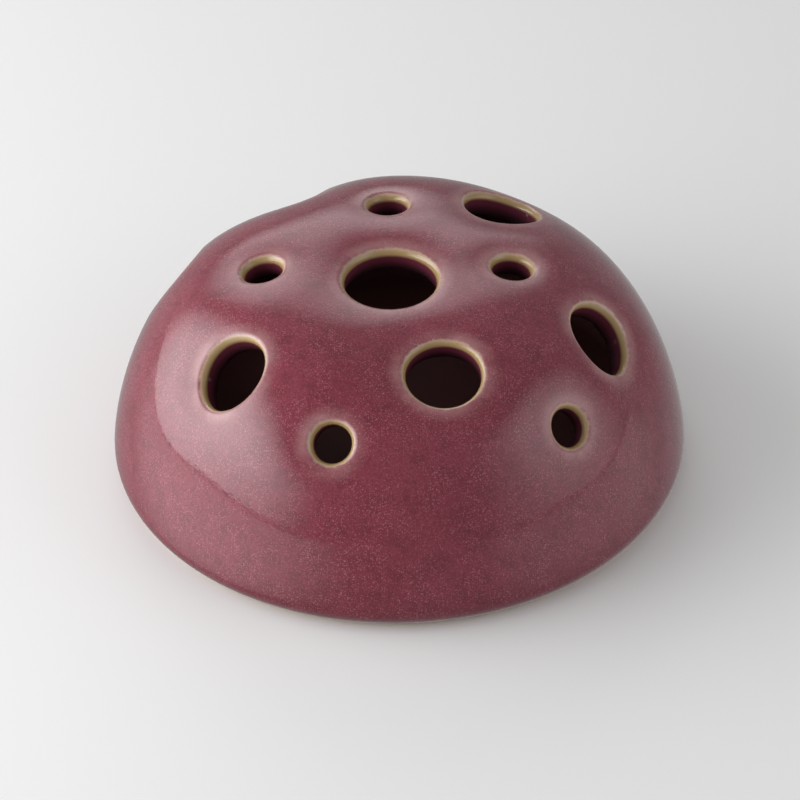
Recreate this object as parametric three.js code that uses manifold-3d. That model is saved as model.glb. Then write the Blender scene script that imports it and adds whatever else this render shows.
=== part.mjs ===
// Flower frog: a low, hollow stoneware dome with a closed floor, pierced by thirteen stem holes.
// It is one fired piece. Units are millimetres, +Z is up, -Y is the front, and the origin is
// on the table under the crown.

import Module from "manifold-3d";
import * as THREE from "three";
import { mergeVertices } from "three/addons/utils/BufferGeometryUtils.js";

const wasm = await Module();
wasm.setup();

// Shell
const WIDTH = 115;
const HEIGHT = 46; // of the undimpled crown
const WALL = 5.2;
const BELLY_HEIGHT = 4.5; // the height of the widest ring, and the radius of the edge below it
const SIDE_POWER = 4 / 7; // under 1 keeps the crown broad
const CROWN_POWER = 4 / 3; // over 1 slopes the side inwards as it climbs
const SHOULDER_RISE = 1.9; // extra fullness halfway up

// Foot and floor
const FOOT_RING_WIDTH = 7;
const FOOT_RECESS = 1.2; // how far the underside is hollowed inside the foot ring
const FLOOR_TOP = 6.2;
const FLOOR_CORNER = 4; // radius where the floor meets the wall inside

// Stem holes
const LIP = 1.6; // radius of the rounded mouth
const LIP_SWEEP = THREE.MathUtils.degToRad(65);
const LIP_STEPS = 2;
const CUT_DEPTH = 12;
const CUT_CLEARANCE = 3;
const CENTRE = { bore: 9.1, dimple: 2.0, spread: 13 };
const LARGE = { bore: 7.35, dimple: 1.8, spread: 11.5 };
const LARGE_BACK = { bore: 7.35, dimple: 2.0, spread: 13 };
const LARGE_SIDE = { bore: 7.35, dimple: 2.4, spread: 9.5 };
const LARGE_FLAT = { bore: 7.35, dimple: 0.2, spread: 12 };
const SMALL = { bore: 3.8, dimple: 1.2, spread: 7 };
const DIMPLE_REACH = 14; // a dimple only moves clay that is this near to its mouth, along its axis

// Facets
const OUTER_SEGMENTS = 64;
const OUTER_ROWS = 22;
const INNER_SEGMENTS = 44;
const INNER_ROWS = 14;
const EDGE_STEPS = 3;
const HOLE_SEGMENTS = 20;

// Each hole's mouth is at a distance from the dome's axis (reach) and a bearing in degrees, from
// the front towards +X. Its axis leans outwards from the vertical (tilt) and sideways (sway). The
// middle of its dimple may lie outwards and sideways from it (drift).
const HOLES = [
  { kind: CENTRE, reach: 2.4, bearing: -30, tilt: 0, sway: 0, drift: [0, 0] },
  { kind: LARGE, reach: 31, bearing: 16.5, tilt: 15, sway: -3, drift: [0, -4] },
  { kind: LARGE_SIDE, reach: 42.8, bearing: 74.8, tilt: 42, sway: 3, drift: [4.5, 0] },
  { kind: LARGE, reach: 34.5, bearing: 140.5, tilt: 22, sway: -2, drift: [-3, 0] },
  { kind: LARGE_BACK, reach: 43.2, bearing: -149, tilt: 42, sway: 0, drift: [1, 1] },
  { kind: LARGE_FLAT, reach: 50, bearing: -115, tilt: 55, sway: 0, drift: [0, 0] },
  { kind: LARGE_SIDE, reach: 40.6, bearing: -56, tilt: 36, sway: -10, drift: [4.5, -4.2] },
  { kind: SMALL, reach: 44.4, bearing: -17.5, tilt: 44, sway: 2, drift: [0, 0] },
  { kind: SMALL, reach: 47.7, bearing: 45, tilt: 49, sway: -3, drift: [0, 0] },
  { kind: SMALL, reach: 23.2, bearing: 94.5, tilt: 10, sway: -2, drift: [0, 0] },
  { kind: SMALL, reach: 49, bearing: 176, tilt: 53, sway: 0, drift: [0, 0] },
  { kind: SMALL, reach: 24.1, bearing: 184, tilt: 7, sway: 3, drift: [0, 0] },
  { kind: SMALL, reach: 27, bearing: -97, tilt: 11, sway: 0, drift: [0, 0] },
];

const GLAZE = new THREE.MeshStandardMaterial({ color: 0x7a3a4b, roughness: 0.25, metalness: 0 });

// The outline's height at an angle: 0 at the widest ring, a quarter turn at the crown.
function outlineHeight(angle) {
  const climb = (HEIGHT - BELLY_HEIGHT) * Math.sin(angle) ** CROWN_POWER;
  return BELLY_HEIGHT + climb + SHOULDER_RISE * Math.sin(2 * angle) ** 2;
}

// The height of the dome's undimpled surface over a point at this distance from its axis.
function domeHeight(radius) {
  const share = Math.min(radius / (WIDTH / 2), 1);
  return outlineHeight(Math.acos(share ** (1 / SIDE_POWER)));
}

// The dome's outline, or one at a constant depth inside it, from the widest ring to the crown.
class Outline extends THREE.Curve {
  constructor(depth) {
    super();
    this.depth = depth;
  }

  outer(t) {
    const angle = (THREE.MathUtils.clamp(t, 0, 1) * Math.PI) / 2;
    const radius = (WIDTH / 2) * Math.max(Math.cos(angle), 0) ** SIDE_POWER;
    return new THREE.Vector2(radius, outlineHeight(angle));
  }

  getPoint(t, target = new THREE.Vector2()) {
    const step = 1e-4;
    const ahead = this.outer(t + step).sub(this.outer(t - step)).normalize();
    const inwards = new THREE.Vector2(-ahead.y, ahead.x);
    return target.copy(this.outer(t)).addScaledVector(inwards, this.depth);
  }
}

// A solid of revolution about Z, from a profile that runs upwards on its outside.
function turned(profile, segments) {
  return new THREE.LatheGeometry(profile, segments).rotateX(Math.PI / 2);
}

function arc(centreX, centreY, radius, from, to, steps) {
  const points = [];
  for (let step = 0; step <= steps; step++) {
    const angle = from + ((to - from) * step) / steps;
    points.push(new THREE.Vector2(centreX + radius * Math.cos(angle), centreY + radius * Math.sin(angle)));
  }
  return points;
}

function solidFrom(geometry) {
  geometry.deleteAttribute("normal");
  geometry.deleteAttribute("uv");
  const merged = mergeVertices(geometry);
  const corners = merged.index.array;
  const triangles = [];
  for (let i = 0; i < corners.length; i += 3) {
    const triangle = corners.slice(i, i + 3);
    if (new Set(triangle).size === 3) triangles.push(...triangle);
  }
  const mesh = new wasm.Mesh({
    numProp: 3,
    vertProperties: new Float32Array(merged.attributes.position.array),
    triVerts: new Uint32Array(triangles),
  });
  return new wasm.Manifold(mesh);
}

function geometryFrom(solid) {
  const mesh = solid.getMesh();
  const geometry = new THREE.BufferGeometry();
  geometry.setAttribute("position", new THREE.BufferAttribute(mesh.vertProperties, 3));
  geometry.setIndex(new THREE.BufferAttribute(mesh.triVerts, 1));
  geometry.computeVertexNormals();
  return geometry;
}

// Adds the mouth's centre, the hole's axis and the dimple's middle, in the part's frame.
function placed(hole) {
  const bearing = THREE.MathUtils.degToRad(hole.bearing);
  const tilt = THREE.MathUtils.degToRad(hole.tilt);
  const outwards = new THREE.Vector3(Math.sin(bearing), -Math.cos(bearing), 0);
  const sideways = new THREE.Vector3(Math.cos(bearing), Math.sin(bearing), 0);
  const mouth = outwards.clone().multiplyScalar(hole.reach).setZ(domeHeight(hole.reach));
  const axis = new THREE.Vector3(0, 0, Math.cos(tilt))
    .addScaledVector(outwards, Math.sin(tilt))
    .addScaledVector(sideways, Math.tan(THREE.MathUtils.degToRad(hole.sway)))
    .normalize();
  const [away, aside] = hole.drift;
  const downhill = sideways.clone().cross(axis).normalize();
  const sunk = mouth.clone().addScaledVector(downhill, away).addScaledVector(sideways, aside);
  return { ...hole.kind, mouth, axis, sunk };
}

function dimpleDepth(hole, point) {
  const offset = point.clone().sub(hole.sunk);
  const along = offset.dot(hole.axis);
  if (along < -DIMPLE_REACH) return 0;
  const across = offset.addScaledVector(hole.axis, -along).length();
  return hole.dimple * Math.exp(-((across / hole.spread) ** 2));
}

// How far the dimples move a point of the clay.
function sinking(point, holes) {
  const move = new THREE.Vector3();
  for (const hole of holes) move.addScaledVector(hole.axis, -dimpleDepth(hole, point));
  return move;
}

// Sinks the clay around each hole, as a thumb does in soft clay. The foot and floor stay flat.
function pressDimples(geometry, holes) {
  const positions = geometry.attributes.position;
  for (let i = 0; i < positions.count; i++) {
    const point = new THREE.Vector3().fromBufferAttribute(positions, i);
    if (point.z <= FLOOR_TOP) continue;
    point.add(sinking(point, holes));
    positions.setXYZ(i, point.x, point.y, point.z);
  }
  return geometry;
}

// How far the dimpled surface is above the mouth's centre, along the hole's axis, at a point
// beside that axis.
function surfaceLevel(hole, beside, holes) {
  const onLine = (level) => hole.mouth.clone().add(beside).addScaledVector(hole.axis, level);
  let low = -CUT_DEPTH;
  let high = CUT_DEPTH;
  while (high - low > 1e-3) {
    const middle = (low + high) / 2;
    const point = onLine(middle);
    if (point.z > domeHeight(Math.hypot(point.x, point.y))) high = middle;
    else low = middle;
  }
  return low + sinking(onLine(low), holes).dot(hole.axis);
}

// The clay that a hole takes out: a straight bore whose mouth opens in a rounded lip, which
// follows the surface around it.
function stemHole(hole, holes) {
  const lip = arc(hole.bore + LIP, -LIP, LIP, Math.PI, Math.PI - LIP_SWEEP, LIP_STEPS);
  const last = lip.at(-1);
  const rimRadius = last.x + CUT_CLEARANCE * Math.sin(LIP_SWEEP);
  const rimHeight = last.y + CUT_CLEARANCE * Math.cos(LIP_SWEEP);
  const profile = [
    new THREE.Vector2(0, -CUT_DEPTH),
    new THREE.Vector2(hole.bore, -CUT_DEPTH),
    ...lip,
    new THREE.Vector2(rimRadius, rimHeight),
    new THREE.Vector2(0, rimHeight),
  ];
  const geometry = turned(profile, HOLE_SEGMENTS);
  const turn = new THREE.Quaternion().setFromUnitVectors(new THREE.Vector3(0, 0, 1), hole.axis);
  const positions = geometry.attributes.position;
  for (let i = 0; i < positions.count; i++) {
    const local = new THREE.Vector3().fromBufferAttribute(positions, i);
    const beside = local.clone().setZ(0).applyQuaternion(turn);
    const level = local.z > -CUT_DEPTH ? surfaceLevel(hole, beside, holes) : 0;
    const point = beside.add(hole.mouth).addScaledVector(hole.axis, local.z + level);
    positions.setXYZ(i, point.x, point.y, point.z);
  }
  return solidFrom(geometry);
}

// The dome's outside, with its rounded lower edge and the recess inside the foot ring.
function outside() {
  const footRadius = WIDTH / 2 - BELLY_HEIGHT;
  const ringInside = footRadius - FOOT_RING_WIDTH;
  const lowerEdge = arc(footRadius, BELLY_HEIGHT, BELLY_HEIGHT, -Math.PI / 2, 0, EDGE_STEPS);
  const profile = [
    new THREE.Vector2(0, FOOT_RECESS),
    new THREE.Vector2(ringInside - FOOT_RECESS, FOOT_RECESS),
    new THREE.Vector2(ringInside, 0),
    ...lowerEdge,
    ...new Outline(0).getSpacedPoints(OUTER_ROWS).slice(1),
  ];
  return turned(profile, OUTER_SEGMENTS);
}

// The hollow inside: a flat floor, a rounded corner and the dome's inner face.
function hollow() {
  const cornerTop = FLOOR_TOP + FLOOR_CORNER;
  const innerFace = new Outline(WALL).getSpacedPoints(INNER_ROWS).filter((p) => p.y > cornerTop + 1);
  const wallRadius = innerFace[0].x;
  const corner = arc(wallRadius - FLOOR_CORNER, cornerTop, FLOOR_CORNER, -Math.PI / 2, 0, EDGE_STEPS);
  return turned([new THREE.Vector2(0, FLOOR_TOP), ...corner, ...innerFace], INNER_SEGMENTS);
}

function ceramicBody() {
  const holes = HOLES.map(placed);
  let body = solidFrom(pressDimples(outside(), holes));
  body = body.subtract(solidFrom(pressDimples(hollow(), holes)));
  for (const hole of holes) body = body.subtract(stemHole(hole, holes));
  const mesh = new THREE.Mesh(geometryFrom(body), GLAZE);
  mesh.name = "ceramic_body";
  return mesh;
}

const flowerFrog = new THREE.Group();
flowerFrog.add(ceramicBody());

export default flowerFrog;
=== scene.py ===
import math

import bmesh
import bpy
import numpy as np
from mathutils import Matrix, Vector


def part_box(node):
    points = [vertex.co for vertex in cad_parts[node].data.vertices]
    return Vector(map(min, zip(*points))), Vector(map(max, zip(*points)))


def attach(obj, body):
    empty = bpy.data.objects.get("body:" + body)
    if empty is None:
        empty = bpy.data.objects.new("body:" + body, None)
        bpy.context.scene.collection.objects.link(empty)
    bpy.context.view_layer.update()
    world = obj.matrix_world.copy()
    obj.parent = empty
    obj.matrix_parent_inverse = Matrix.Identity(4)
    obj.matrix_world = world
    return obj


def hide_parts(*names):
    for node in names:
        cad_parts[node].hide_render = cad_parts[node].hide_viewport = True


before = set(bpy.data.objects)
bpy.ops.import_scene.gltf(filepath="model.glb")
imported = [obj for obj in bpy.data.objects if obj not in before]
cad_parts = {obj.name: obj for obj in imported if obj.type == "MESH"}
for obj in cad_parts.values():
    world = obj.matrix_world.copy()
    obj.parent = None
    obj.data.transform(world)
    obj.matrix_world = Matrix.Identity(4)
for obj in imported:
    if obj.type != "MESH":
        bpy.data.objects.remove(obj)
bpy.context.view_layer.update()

# A glazed stoneware flower frog: one hollow fired piece with thirteen stem holes.
#
# The shape is a field in millimetres: below zero in the clay, zero on its surface. The field is
# made of the dome, its hollow, the foot and the holes, each joined to the rest by a rounded edge.
# A surface net turns it into a mesh, which is refined around the lips. The same field gives each
# vertex the numbers that the glaze needs: how far it is from a lip, how deep it lies under the
# dome's surface, and how deep the dimple is there.

CAD_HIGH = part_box("ceramic_body")[1]
MM = 0.001

# Shell, as in the CAD. The glazed surface stays this little inside the CAD box.
INSET = 0.06
RADIUS = CAD_HIGH.y / MM - INSET
HEIGHT = 46.0
CROWN = HEIGHT - INSET
WALL = 5.2
BELLY_HEIGHT = 4.5
SIDE_POWER = 4 / 7
CROWN_POWER = 4 / 3
SHOULDER_RISE = 1.9

# Foot and floor
RECESS_RADIUS = 45.2
RECESS_HEIGHT = 1.2
RECESS_ROUNDING = 0.6
FLOOR_TOP = 6.2
FLOOR_CORNER = 4

# Holes
OUTER_LIP = 1.6
INNER_LIP = 1.1
CUT_DEPTH = 13
DIMPLE_REACH = (9, 16)
CENTRE = {"bore": 9.1, "dimple": 2.0, "spread": 13}
LARGE = {"bore": 7.35, "dimple": 1.8, "spread": 11.5}
LARGE_BACK = {"bore": 7.35, "dimple": 2.0, "spread": 13}
LARGE_SIDE = {"bore": 7.35, "dimple": 2.4, "spread": 9.5}
LARGE_FLAT = {"bore": 7.35, "dimple": 0.2, "spread": 12}
SMALL = {"bore": 3.8, "dimple": 1.2, "spread": 7}
HOLES = [
    # kind, reach from the axis, bearing from the front, tilt outwards, sway sideways, and how far
    # its dimple's middle lies outwards and sideways from it
    (CENTRE, 2.4, -30, 0, 0, (0, 0)),
    (LARGE, 31, 16.5, 15, -3, (0, -4)),
    (LARGE_SIDE, 42.8, 74.8, 42, 3, (4.5, 0)),
    (LARGE, 34.5, 140.5, 22, -2, (-3, 0)),
    (LARGE_BACK, 43.2, -149, 42, 0, (1, 1)),
    (LARGE_FLAT, 50, -115, 55, 0, (0, 0)),
    (LARGE_SIDE, 40.6, -56, 36, -10, (4.5, -4.2)),
    (SMALL, 44.4, -17.5, 44, 2, (0, 0)),
    (SMALL, 47.7, 45, 49, -3, (0, 0)),
    (SMALL, 23.2, 94.5, 10, -2, (0, 0)),
    (SMALL, 49, 176, 53, 0, (0, 0)),
    (SMALL, 24.1, 184, 7, 3, (0, 0)),
    (SMALL, 27, -97, 11, 0, (0, 0)),
]

# Mesh
CELL = 0.9
LIP_ZONE = 2.4  # the mesh is refined where a lip is nearer than this
LIP_DEPTH = 3  # from this depth down, the distance from a lip is the depth alone
LIP_LIMITS = (-6, 12)  # what the stored distance from a lip is kept within
DEPTH_LIMITS = (0, 8)  # what the stored depth is kept within

# The grid that holds the distance from the dome's side, and how far the outline goes on past it
PROFILE_STEP = 0.5
PROFILE_PARTS = 600
GRID_BEHIND_AXIS = 3
GRID_MARGIN = 6
FAR_BELOW = -30
FAR_BEHIND = -10

# Camera: its distance and its shift to the right and up are in metres
CAMERA_ELEVATION = math.radians(38.1)
CAMERA_ROLL = math.radians(1.02)
CAMERA_DISTANCE = 1.15
CAMERA_AIM = (0.00007, 0.00978)
LENS = 255.8
SENSOR_WIDTH = 36
CLIP_START = 0.05

# Studio, in metres
FLOOR_HALF_WIDTH = 6
FLOOR_COLOUR = (0.86, 0.86, 0.86, 1)
FLOOR_ROUGHNESS = 0.6
WORLD_STRENGTH = 0.38
EDGE_SHARE = 0.25  # how much of a panel's height its edge by the floor takes to reach full strength
PANELS = [
    # name, bearing from the front towards +X, distance, the heights of its edge by the floor and
    # its far edge, width, radiance, and its core (see soft_panel)
    ("left_panel", -86, 0.45, (0.006, 0.62), 1.3, 5.5, (0.0, 0.3, 0.62)),
    ("left_floor_panel", -74, 0.45, (-0.003, -0.45), 1.5, 1.7, (0.0, 0.15, 1.0)),
    ("right_panel", 70, 0.4, (0.006, 0.62), 0.7, 1.3, (0.0, 0.4, 0.55)),
    ("right_floor_panel", 72, 0.4, (-0.003, -0.3), 0.9, 0.5, (0.3, 0.1, 1.0)),
    ("back_panel", 190, 0.8, (0.2, 0.9), 0.95, 1.6, (0.2, 0.45, 0.0)),
]


# ---------------------------------------------------------------- the clay's field


def outline_height(angle):
    """The outline's height at an angle: 0 at the widest ring, a quarter turn at the crown."""
    climb = (CROWN - BELLY_HEIGHT) * np.sin(angle) ** CROWN_POWER
    return BELLY_HEIGHT + climb + SHOULDER_RISE * np.sin(2 * angle) ** 2


def dome_height(radius):
    """The height of the dome's undimpled surface over a point at this distance from its axis."""
    share = np.clip(np.asarray(radius) / RADIUS, 0, 1)
    return outline_height(np.arccos(share ** (1 / SIDE_POWER)))


def side_distances():
    """The signed distance from the dome's side, on a grid over radius and height.

    Below its widest ring the side goes straight down, so that the field stays smooth there.
    """
    angle = np.linspace(0, math.pi / 2, PROFILE_PARTS)
    radius = RADIUS * np.clip(np.cos(angle), 0, None) ** SIDE_POWER
    outline = np.stack([radius, outline_height(angle)], -1)
    outline = np.concatenate([[(RADIUS, FAR_BELOW)], outline, [(FAR_BEHIND, CROWN)]])
    radii = np.arange(-GRID_BEHIND_AXIS, RADIUS + GRID_MARGIN, PROFILE_STEP)
    heights = np.arange(-GRID_MARGIN, CROWN + GRID_MARGIN, PROFILE_STEP)
    points = np.stack(np.meshgrid(radii, heights, indexing="ij"), -1)
    starts, ends = outline[:-1], outline[1:]
    along = ends - starts
    offset = points[:, :, None, :] - starts
    share = np.clip((offset * along).sum(-1) / (along ** 2).sum(-1), 0, 1)
    distance = np.linalg.norm(offset - share[..., None] * along, axis=-1).min(-1)
    outside = (points[..., 0] > RADIUS) | (points[..., 1] > dome_height(np.abs(points[..., 0])))
    below = points[..., 1] < BELLY_HEIGHT
    outside = np.where(below, points[..., 0] > RADIUS, outside)
    return np.where(outside, distance, -distance), radii[0], heights[0]


SIDE_GRID, SIDE_FIRST_RADIUS, SIDE_FIRST_HEIGHT = side_distances()


def cubic_weights(t):
    """Catmull-Rom weights of four neighbours, for a point this far from the second to the third."""
    return (
        ((-0.5 * t + 1.0) * t - 0.5) * t,
        (1.5 * t - 2.5) * t * t + 1.0,
        ((-1.5 * t + 2.0) * t + 0.5) * t,
        (0.5 * t - 0.5) * t * t,
    )


def side_distance(points):
    radius = np.hypot(points[..., 0], points[..., 1])
    across = (radius - SIDE_FIRST_RADIUS) / PROFILE_STEP
    up = (points[..., 2] - SIDE_FIRST_HEIGHT) / PROFILE_STEP
    column = np.clip(across.astype(int), 1, SIDE_GRID.shape[0] - 3)
    row = np.clip(up.astype(int), 1, SIDE_GRID.shape[1] - 3)
    weights_across = cubic_weights(across - column)
    weights_up = cubic_weights(up - row)
    total = 0
    for i in range(4):
        for j in range(4):
            value = SIDE_GRID[column + i - 1, row + j - 1]
            total = total + weights_across[i] * weights_up[j] * value
    return total


def rounded_both(a, b, radius):
    """The field of what is in both a and b, with a round edge of this radius where they meet."""
    corner = np.hypot(np.maximum(a + radius, 0), np.maximum(b + radius, 0))
    return np.minimum(np.maximum(a, b), -radius) + corner


def smooth_step(low, high, value):
    t = np.clip((value - low) / (high - low), 0, 1)
    return t * t * (3 - 2 * t)


def placed(hole):
    """Adds the mouth's centre, the hole's axis and the dimple's middle, in the part's frame."""
    kind, reach, bearing, tilt, sway, drift = hole
    bearing, tilt, sway = (math.radians(angle) for angle in (bearing, tilt, sway))
    outwards = np.array([math.sin(bearing), -math.cos(bearing), 0])
    sideways = np.array([math.cos(bearing), math.sin(bearing), 0])
    mouth = reach * outwards + np.array([0, 0, float(dome_height(reach))])
    axis = math.sin(tilt) * outwards + math.tan(sway) * sideways + np.array([0, 0, math.cos(tilt)])
    axis /= np.linalg.norm(axis)
    away = np.cross(sideways, axis)
    sunk = mouth + drift[0] * away / np.linalg.norm(away) + drift[1] * sideways
    return {**kind, "mouth": mouth, "axis": axis, "sunk": sunk}


PLACED_HOLES = [placed(hole) for hole in HOLES]


def clay(points):
    """The clay's field, with the numbers that the glaze needs.

    Returns the field, the depth under the dome's surface, the distance from the nearest bore's
    wall and the depth of the dimple.
    """
    bore = np.full(points.shape[:-1], np.inf)
    dimple = np.zeros(points.shape[:-1])
    for hole in PLACED_HOLES:
        offset = points - hole["mouth"]
        along = offset @ hole["axis"]
        across = np.sqrt(np.maximum((offset ** 2).sum(-1) - along ** 2, 0))
        bore = np.minimum(bore, np.maximum(across - hole["bore"], -along - CUT_DEPTH))
        offset = points - hole["sunk"]
        along = offset @ hole["axis"]
        across = (offset ** 2).sum(-1) - along ** 2
        near = 1 - smooth_step(*DIMPLE_REACH, -along)
        dimple += hole["dimple"] * np.exp(-across / hole["spread"] ** 2) * near
    dome = side_distance(points) + dimple
    height = points[..., 2]
    hollow = rounded_both(dome + WALL, FLOOR_TOP - height, FLOOR_CORNER)
    radius = np.hypot(points[..., 0], points[..., 1])
    recess = rounded_both(radius - RECESS_RADIUS, height - RECESS_HEIGHT, RECESS_ROUNDING)
    outside = rounded_both(dome, -height, BELLY_HEIGHT)
    outside = rounded_both(outside, -recess, RECESS_ROUNDING)
    outside = rounded_both(outside, -bore, OUTER_LIP)
    inside = rounded_both(-hollow, -bore, INNER_LIP)
    return np.maximum(outside, inside), -dome, bore, dimple


def field(points):
    return clay(points)[0]


# ---------------------------------------------------------------- the mesh


def surface_net(low, high, cell):
    """Vertices and quads of the field's zero surface: one vertex in each cell that it crosses."""
    axes = [np.arange(low[k], high[k] + cell, cell) for k in range(3)]
    values = np.empty([len(axis) for axis in axes])
    side = np.stack(np.meshgrid(axes[1], axes[2], indexing="ij"), -1)
    for i, x in enumerate(axes[0]):
        values[i] = field(np.concatenate([np.full(side.shape[:2] + (1,), x), side], -1))
    inside = values < 0
    counts = np.zeros([n - 1 for n in values.shape], int)
    corners = [(i, j, k) for i in (0, 1) for j in (0, 1) for k in (0, 1)]
    for i, j, k in corners:
        counts += inside[i:i + counts.shape[0], j:j + counts.shape[1], k:k + counts.shape[2]]
    cells = np.argwhere((counts > 0) & (counts < 8))
    number = np.full(counts.shape, -1)
    number[tuple(cells.T)] = np.arange(len(cells))

    total = np.zeros((len(cells), 3))
    crossings = np.zeros(len(cells))
    for corner in corners:
        for axis in range(3):
            if corner[axis]:
                continue
            end = list(corner)
            end[axis] = 1
            first = values[tuple((cells + corner).T)]
            last = values[tuple((cells + end).T)]
            crossed = (first < 0) != (last < 0)
            share = np.where(crossed, first / np.where(crossed, first - last, 1), 0)
            point = cells + np.array(corner) + share[:, None] * np.eye(3)[axis]
            total += point * crossed[:, None]
            crossings += crossed
    vertices = np.array(low) + cell * total / crossings[:, None]

    quads = []
    for axis in range(3):
        second, third = (axis + 1) % 3, (axis + 2) % 3
        lower = [slice(None)] * 3
        upper = [slice(None)] * 3
        lower[axis] = slice(0, -1)
        upper[axis] = slice(1, None)
        leaving = inside[tuple(lower)] & ~inside[tuple(upper)]
        entering = ~inside[tuple(lower)] & inside[tuple(upper)]
        for edges, order in ((leaving, (0, 1, 2, 3)), (entering, (3, 2, 1, 0))):
            at = np.argwhere(edges)
            around = []
            for step_second, step_third in ((-1, -1), (0, -1), (0, 0), (-1, 0)):
                neighbour = at.copy()
                neighbour[:, second] += step_second
                neighbour[:, third] += step_third
                around.append(number[tuple(neighbour.T)])
            quads.append(np.stack([around[k] for k in order], -1))
    return vertices, np.concatenate(quads)


def gradient(points, step=0.02):
    result = np.empty_like(points)
    for axis in range(3):
        shift = step * np.eye(3)[axis]
        result[:, axis] = (field(points + shift) - field(points - shift)) / (2 * step)
    return result


def onto_surface(points, rounds=2):
    for _ in range(rounds):
        slope = gradient(points)
        points = points - slope * (field(points) / (slope ** 2).sum(-1))[:, None]
    return points


def relaxed(points, edges, rounds=3, share=0.5):
    """Evens out the mesh: each vertex moves towards its neighbours and back onto the surface."""
    ends = np.concatenate([edges, edges[:, ::-1]])
    neighbours = np.bincount(ends[:, 0], minlength=len(points))
    for _ in range(rounds):
        middle = np.stack(
            [np.bincount(ends[:, 0], points[ends[:, 1], k], len(points)) for k in range(3)], -1
        )
        points = points + share * (middle / neighbours[:, None] - points)
        points = onto_surface(points, 1)
    return points


def mesh_arrays(mesh):
    points = np.empty(len(mesh.vertices) * 3)
    mesh.vertices.foreach_get("co", points)
    edges = np.empty(len(mesh.edges) * 2, int)
    mesh.edges.foreach_get("vertices", edges)
    return points.reshape(-1, 3), edges.reshape(-1, 2)


def ceramic_mesh():
    margin = 2 * CELL
    low = (-RADIUS - margin, -RADIUS - margin, -margin)
    high = (RADIUS + margin, RADIUS + margin, CROWN + margin)
    vertices, quads = surface_net(low, high, CELL)
    mesh = bpy.data.meshes.new("ceramic_body_glazed")
    mesh.from_pydata(onto_surface(vertices).tolist(), [], quads.tolist())
    points, edges = mesh_arrays(mesh)
    points = relaxed(points, edges)

    near_lip = lip_distance(points)
    mesh.vertices.foreach_set("co", points.ravel())
    refined = bmesh.new()
    refined.from_mesh(mesh)
    refined.edges.ensure_lookup_table()
    close = (np.abs(near_lip) < LIP_ZONE)[edges].all(-1)
    bmesh.ops.subdivide_edges(
        refined, edges=[refined.edges[i] for i in np.flatnonzero(close)], cuts=1, use_grid_fill=True
    )
    refined.to_mesh(mesh)
    refined.free()
    points, edges = mesh_arrays(mesh)
    points = relaxed(points, edges)
    return mesh, onto_surface(points)


def lip_distance(points):
    """Millimetres from the crest of the nearest lip: above zero on the dome, below in the bore."""
    _, depth, bore, _ = clay(points)
    return np.where(depth < LIP_DEPTH, bore - depth, -depth)


def store(mesh, name, values):
    attribute = mesh.attributes.new(name, "FLOAT", "POINT")
    attribute.data.foreach_set("value", values.astype(np.float32))


def ceramic_body():
    mesh, points = ceramic_mesh()
    normals = gradient(points)
    normals /= np.linalg.norm(normals, axis=-1)[:, None]
    _, depth, _, dimple = clay(points)
    store(mesh, "lip", np.clip(lip_distance(points), *LIP_LIMITS))
    store(mesh, "depth", np.clip(depth, *DEPTH_LIMITS))
    store(mesh, "dimple", dimple)
    mesh.vertices.foreach_set("co", (points * MM).ravel())
    mesh.polygons.foreach_set("use_smooth", [True] * len(mesh.polygons))
    mesh.normals_split_custom_set_from_vertices(normals.tolist())
    mesh.update()
    piece = bpy.data.objects.new("glazed_body", mesh)
    bpy.context.scene.collection.objects.link(piece)
    return piece


# ---------------------------------------------------------------- materials


DEEP = (0.165, 0.015, 0.031, 1)
DEEPEST = (0.112, 0.009, 0.019, 1)
MIDDLE = (0.217, 0.03, 0.053, 1)
CRYSTAL = (0.48, 0.18, 0.22, 1)
# The halo round the lips is partly the thin glaze's own paleness and partly a painted sheen of the
# side panels.
PALE_HALO_AND_SHEEN = (0.5, 0.29, 0.28, 1)
CREAM = (0.55, 0.42, 0.3, 1)
OCHRE = (0.36, 0.235, 0.09, 1)
PLUM = (0.13, 0.022, 0.042, 1)
SHADE = (0.03, 0.009, 0.012, 1)
DARK = (0.1, 0.036, 0.036, 1)
BARE_CLAY = (0.5, 0.36, 0.22, 1)

# A band runs from where something starts to where it is full. A noise is a scale per millimetre,
# a detail and a roughness.
PATTERNS = [
    # noise, band, strength and colour of the glaze's clouds, mottle, grit and stains
    ((0.07, 2.0), (0.35, 0.65), 0.5, MIDDLE),
    ((0.9, 4.0, 0.7), (0.4, 0.62), 0.6, MIDDLE),
    ((2.2, 3.0, 0.7), (0.5, 0.32), 0.75, DEEPEST),
    ((0.28, 3.0, 0.6), (0.52, 0.35), 0.45, DEEPEST),
]
POOL_BAND = (0.5, 1.6)  # how deep a dimple is where the glaze pools in it
POOL_STRENGTH = 0.35
PAINTED_FOOT_SHADE_BAND = (11 * MM, 1 * MM)  # height of the painted shade that darkens the glaze towards the floor
PAINTED_FOOT_SHADE_STRENGTH = 0.5

# The crystals, which lie in cells of these sizes in millimetres, more of them where they crowd
CRYSTAL_CELLS = (0.28, 0.42)
CRYSTAL_BAND = (0.5, 0.1)
CRYSTAL_CHANCE = (0.15, 1.0)
CRYSTAL_STRENGTH = 0.6
CROWD_NOISE = (0.16, 3.0)
CROWD_BAND = (0.3, 0.65)
LEAST_CROWD = 0.35

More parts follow.
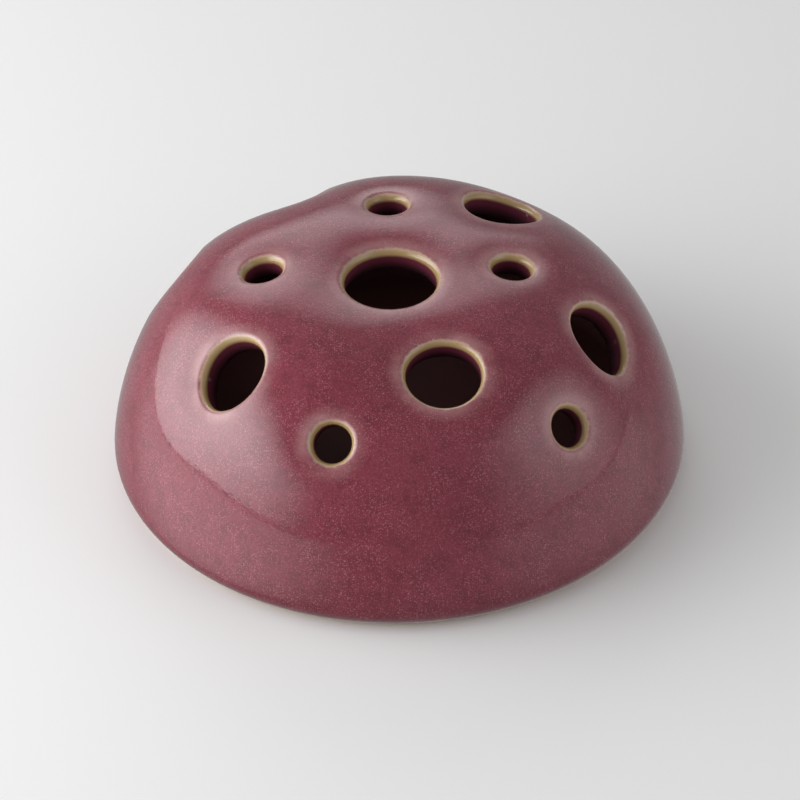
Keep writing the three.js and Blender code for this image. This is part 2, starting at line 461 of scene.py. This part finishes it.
# The lips and bores. Bands are in millimetres from a lip's crest, below zero down the bore.
RAGGED_NOISE = (0.9, 4.0, 0.65)
RAGGED_WIDTH = 1.7
HALO_AND_SHEEN_BAND = (4.5, 0.6)
HALO_NOISE = (0.12, 3.0)
HALO_PATCH_BAND = (0.35, 0.6)
HALO_LEAST = 0.16
HALO_MORE = 0.32
CREAM_BAND = (1.2, 0.2)
CREAM_STRENGTH = 0.75
OCHRE_BAND = (0.7, -0.2)
OCHRE_STRENGTH = 0.9
PLUM_BAND = (-1.0, -1.8)
SHADE_BAND = (-1.8, -4.2)
DULL_BAND = (-1.2, -2.8)  # where the bore loses the gloss
INNER_FACE_BAND = (4.8, 5.15)  # depth under the dome's surface, where the dark inside starts

# The bare clay: the foot up to a ragged line, and everything under the piece
GLAZE_LINE = (1.1 * MM, 0.6 * MM)
LINE_RAGGEDNESS = 0.25 * MM
UNDER_DEPTH_BAND = (1.5, 3.0)
UNDER_HEIGHT_BAND = (4 * MM, 3 * MM)

# The shine: a sharp coat over a duller glaze
GLAZE_ROUGHNESS = 0.55
EXTRA_CLAY_ROUGHNESS = 0.3
GLAZE_SPECULAR = 0.1
COAT_ROUGHNESS = 0.05
COAT_IOR = 1.5
WAVE_NOISE = (0.05, 1.0)
WAVE_HEIGHT = 0.25 * MM
PEEL_NOISE = (1.6, 2.0)
PEEL_HEIGHT = 0.016 * MM


class Nodes:
    """Adds nodes to the tree of a material or a light, and links the sockets they are given."""

    def __init__(self, tree):
        self.tree = tree

    def add(self, kind, values=(), **settings):
        node = self.tree.nodes.new(kind)
        for name, value in settings.items():
            setattr(node, name, value)
        for socket, value in dict(values).items():
            if isinstance(value, bpy.types.NodeSocket):
                self.tree.links.new(value, node.inputs[socket])
            else:
                node.inputs[socket].default_value = value
        return node

    def attribute(self, name):
        return self.add("ShaderNodeAttribute", attribute_name=name).outputs["Fac"]

    def math(self, operation, first, second=0.0, clamp=False):
        node = self.add(
            "ShaderNodeMath", {0: first, 1: second}, operation=operation, use_clamp=clamp
        )
        return node.outputs[0]

    def ramp(self, value, low, high):
        """Rises smoothly from 0 where value is at low to 1 where it is at high."""
        node = self.add(
            "ShaderNodeMapRange",
            {"Value": value, "From Min": low, "From Max": high},
            interpolation_type="SMOOTHSTEP",
        )
        return node.outputs[0]

    def mix(self, share, first, second):
        """Mixes two colours, which are the mix node's sockets 6 and 7."""
        node = self.add("ShaderNodeMix", data_type="RGBA")
        for socket, value in ((0, share), (6, first), (7, second)):
            if isinstance(value, bpy.types.NodeSocket):
                self.tree.links.new(value, node.inputs[socket])
            else:
                node.inputs[socket].default_value = value
        return node.outputs[2]

    def scaled(self, value, factor):
        return self.math("MULTIPLY", value, factor)

    def noise(self, scale, detail=3.0, roughness=0.5):
        """Noise whose largest pattern is about 1 / scale millimetres."""
        values = {"Scale": scale / MM, "Detail": detail, "Roughness": roughness}
        values["Vector"] = self.add("ShaderNodeTexCoord").outputs["Object"]
        return self.add("ShaderNodeTexNoise", values).outputs["Fac"]


def new_material(name):
    material = bpy.data.materials.new(name)
    material.use_nodes = True
    nodes = Nodes(material.node_tree)
    shader = material.node_tree.nodes["Principled BSDF"]
    return material, nodes, shader


def glaze_colour(nodes, place, height):
    """The glaze away from the lips: deep raspberry, cloudy, with fine pale crystals, and painted
    shade by the foot.
    """
    colour = DEEP
    for noise, band, strength, pattern_colour in PATTERNS:
        pattern = nodes.ramp(nodes.noise(*noise), *band)
        colour = nodes.mix(nodes.scaled(pattern, strength), colour, pattern_colour)
    pool = nodes.ramp(nodes.attribute("dimple"), *POOL_BAND)
    colour = nodes.mix(nodes.scaled(pool, POOL_STRENGTH), colour, DEEP)
    # Painted shade: the glaze is darkened towards the floor, where the foot lies in shade.
    low = nodes.ramp(height, *PAINTED_FOOT_SHADE_BAND)
    colour = nodes.mix(nodes.scaled(low, PAINTED_FOOT_SHADE_STRENGTH), colour, DEEPEST)
    crowd = nodes.ramp(nodes.noise(*CROWD_NOISE), *CROWD_BAND)
    crowd = nodes.math("ADD", LEAST_CROWD, nodes.scaled(crowd, 1 - LEAST_CROWD))
    for size in CRYSTAL_CELLS:
        cells = nodes.add("ShaderNodeTexVoronoi", {"Vector": place, "Scale": 1 / (size * MM)})
        chance = nodes.add("ShaderNodeSeparateColor", {0: cells.outputs["Color"]}).outputs[0]
        spot = nodes.ramp(cells.outputs["Distance"], *CRYSTAL_BAND)
        spot = nodes.math("MULTIPLY", spot, nodes.ramp(chance, *CRYSTAL_CHANCE))
        spot = nodes.math("MULTIPLY", spot, crowd)
        colour = nodes.mix(nodes.scaled(spot, CRYSTAL_STRENGTH), colour, CRYSTAL)
    return colour


def lip_colour(nodes, colour, lip, ragged):
    """Adds the lips, where the glaze runs thin under a pale halo that is partly painted sheen, and
    the bores, which lead to a dark inside.
    """
    edge = nodes.math("ADD", lip, ragged)
    patches = nodes.ramp(nodes.noise(*HALO_NOISE), *HALO_PATCH_BAND)
    patches = nodes.math("ADD", HALO_LEAST, nodes.scaled(patches, HALO_MORE))
    # Painted sheen: the pale halo is partly thin glaze and partly a painted reflection of the
    # panels in the dimples.
    halo_and_sheen = nodes.math("MULTIPLY", nodes.ramp(edge, *HALO_AND_SHEEN_BAND), patches)
    colour = nodes.mix(halo_and_sheen, colour, PALE_HALO_AND_SHEEN)
    cream = nodes.scaled(nodes.ramp(edge, *CREAM_BAND), CREAM_STRENGTH)
    colour = nodes.mix(cream, colour, CREAM)
    ochre = nodes.scaled(nodes.ramp(edge, *OCHRE_BAND), OCHRE_STRENGTH)
    colour = nodes.mix(ochre, colour, OCHRE)
    colour = nodes.mix(nodes.ramp(lip, *PLUM_BAND), colour, PLUM)
    return nodes.mix(nodes.ramp(lip, *SHADE_BAND), colour, SHADE)


def bare_clay(nodes, height, depth, ragged):
    """1 on the bare clay of the foot and of all that is under the piece, 0 on the glaze."""
    line = nodes.math("ADD", height, nodes.scaled(ragged, LINE_RAGGEDNESS))
    foot = nodes.ramp(line, *GLAZE_LINE)
    deep = nodes.ramp(depth, *UNDER_DEPTH_BAND)
    under = nodes.math("MULTIPLY", deep, nodes.ramp(height, *UNDER_HEIGHT_BAND))
    return nodes.math("MAXIMUM", foot, under)


def rippled_normal(nodes):
    """The slow waves of the glaze, and its fine orange peel."""
    waves = nodes.add(
        "ShaderNodeBump",
        {"Strength": 1.0, "Distance": WAVE_HEIGHT, "Height": nodes.noise(*WAVE_NOISE)},
    )
    peel = nodes.add(
        "ShaderNodeBump",
        {
            "Strength": 1.0,
            "Distance": PEEL_HEIGHT,
            "Height": nodes.noise(*PEEL_NOISE),
            "Normal": waves.outputs[0],
        },
    )
    return peel.outputs[0]


def glaze_material():
    material, nodes, shader = new_material("raspberry_glaze")
    lip = nodes.attribute("lip")
    depth = nodes.attribute("depth")
    place = nodes.add("ShaderNodeTexCoord").outputs["Object"]
    height = nodes.add("ShaderNodeSeparateXYZ", {0: place}).outputs[2]
    ragged = nodes.math("SUBTRACT", nodes.noise(*RAGGED_NOISE), 0.5)
    ragged = nodes.scaled(ragged, RAGGED_WIDTH)

    colour = glaze_colour(nodes, place, height)
    colour = lip_colour(nodes, colour, lip, ragged)
    colour = nodes.mix(nodes.ramp(depth, *INNER_FACE_BAND), colour, DARK)
    clay_share = bare_clay(nodes, height, depth, ragged)
    colour = nodes.mix(clay_share, colour, BARE_CLAY)

    rough = nodes.math("ADD", GLAZE_ROUGHNESS, nodes.scaled(clay_share, EXTRA_CLAY_ROUGHNESS))
    dull = nodes.math("ADD", clay_share, nodes.ramp(lip, *DULL_BAND), clamp=True)
    coat = nodes.math("SUBTRACT", 1.0, dull, clamp=True)
    normal = rippled_normal(nodes)
    linked = {
        "Base Color": colour,
        "Roughness": rough,
        "Coat Weight": coat,
        "Normal": normal,
        "Coat Normal": normal,
    }
    for socket, value in linked.items():
        material.node_tree.links.new(value, shader.inputs[socket])
    shader.inputs["Specular IOR Level"].default_value = GLAZE_SPECULAR
    shader.inputs["Coat Roughness"].default_value = COAT_ROUGHNESS
    shader.inputs["Coat IOR"].default_value = COAT_IOR
    return material


# ---------------------------------------------------------------- the studio


def point_camera():
    elevation, roll = CAMERA_ELEVATION, CAMERA_ROLL
    right = Vector((1, 0, 0))
    up = Vector((0, math.sin(elevation), math.cos(elevation)))
    back = Vector((0, -math.cos(elevation), math.sin(elevation)))
    x_axis = right * math.cos(roll) - up * math.sin(roll)
    y_axis = right * math.sin(roll) + up * math.cos(roll)
    place = back * CAMERA_DISTANCE + x_axis * CAMERA_AIM[0] + y_axis * CAMERA_AIM[1]
    data = bpy.data.cameras.new("camera")
    data.lens = LENS
    data.sensor_width = SENSOR_WIDTH
    data.clip_start = CLIP_START
    view = bpy.data.objects.new("camera", data)
    matrix = Matrix((x_axis, y_axis, back)).transposed().to_4x4()
    matrix.translation = place
    view.matrix_world = matrix
    bpy.context.scene.collection.objects.link(view)
    bpy.context.scene.camera = view


def lay_floor():
    size = FLOOR_HALF_WIDTH
    mesh = bpy.data.meshes.new("floor")
    corners = [(-size, -size, 0), (size, -size, 0), (size, size, 0), (-size, size, 0)]
    mesh.from_pydata(corners, [], [(0, 1, 2, 3)])
    plane = bpy.data.objects.new("floor", mesh)
    bpy.context.scene.collection.objects.link(plane)
    material, _, shader = new_material("pale_floor")
    shader.inputs["Base Color"].default_value = FLOOR_COLOUR
    shader.inputs["Roughness"].default_value = FLOOR_ROUGHNESS
    mesh.materials.append(material)
    plane.visible_glossy = False  # the panels under the floor stand for its reflection


def on_bearing(bearing, distance, height):
    """A point at a bearing in degrees, from the front towards +X."""
    angle = math.radians(bearing)
    return Vector((distance * math.sin(angle), -distance * math.cos(angle), height))


def soft_panel(name, bearing, distance, edges, width, radiance, core):
    """A light panel that faces the object, and fades towards its sides and its far edge.

    core is the share of its half width that keeps its full strength, the share of its height
    where it starts to fade, and its strength along its edge by the floor.
    """
    floor_edge, far_edge = edges
    core_width, core_height, edge_strength = core
    height = abs(far_edge - floor_edge)
    data = bpy.data.lights.new(name, "AREA")
    data.shape = "RECTANGLE"
    data.size, data.size_y = width, height
    data.energy = radiance * math.pi * width * height
    data.use_nodes = True
    nodes = Nodes(data.node_tree)
    place = nodes.add("ShaderNodeNewGeometry").outputs["Parametric"]
    place = nodes.add("ShaderNodeSeparateXYZ", {0: place})
    across = nodes.math("ABSOLUTE", nodes.math("SUBTRACT", place.outputs[0], 0.5))
    sides = nodes.ramp(across, 0.5, 0.5 * core_width)
    away = place.outputs[1]
    if far_edge < floor_edge:
        away = nodes.math("SUBTRACT", 1.0, away)
    rise = {"From Min": 0.0, "From Max": EDGE_SHARE, "To Min": edge_strength, "To Max": 1.0}
    near = nodes.add("ShaderNodeMapRange", {"Value": away, **rise}).outputs[0]
    strength = nodes.math("MULTIPLY", sides, nodes.ramp(away, 1.0, core_height))
    strength = nodes.math("MULTIPLY", strength, near)
    data.node_tree.links.new(strength, data.node_tree.nodes["Emission"].inputs["Strength"])
    light = bpy.data.objects.new(name, data)
    light.location = on_bearing(bearing, distance, (floor_edge + far_edge) / 2)
    towards = on_bearing(bearing, -distance, 0)
    light.rotation_euler = towards.to_track_quat("-Z", "Y").to_euler()
    bpy.context.scene.collection.objects.link(light)


def light_studio():
    world = bpy.data.worlds.new("studio")
    world.use_nodes = True
    world.node_tree.nodes["Background"].inputs["Color"].default_value = (1, 1, 1, 1)
    world.node_tree.nodes["Background"].inputs["Strength"].default_value = WORLD_STRENGTH
    bpy.context.scene.world = world
    bpy.context.scene.view_settings.view_transform = "Standard"
    for panel in PANELS:
        soft_panel(*panel)


point_camera()
lay_floor()
light_studio()

body_piece = ceramic_body()
body_piece.data.materials.append(glaze_material())
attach(body_piece, "root")
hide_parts("ceramic_body")
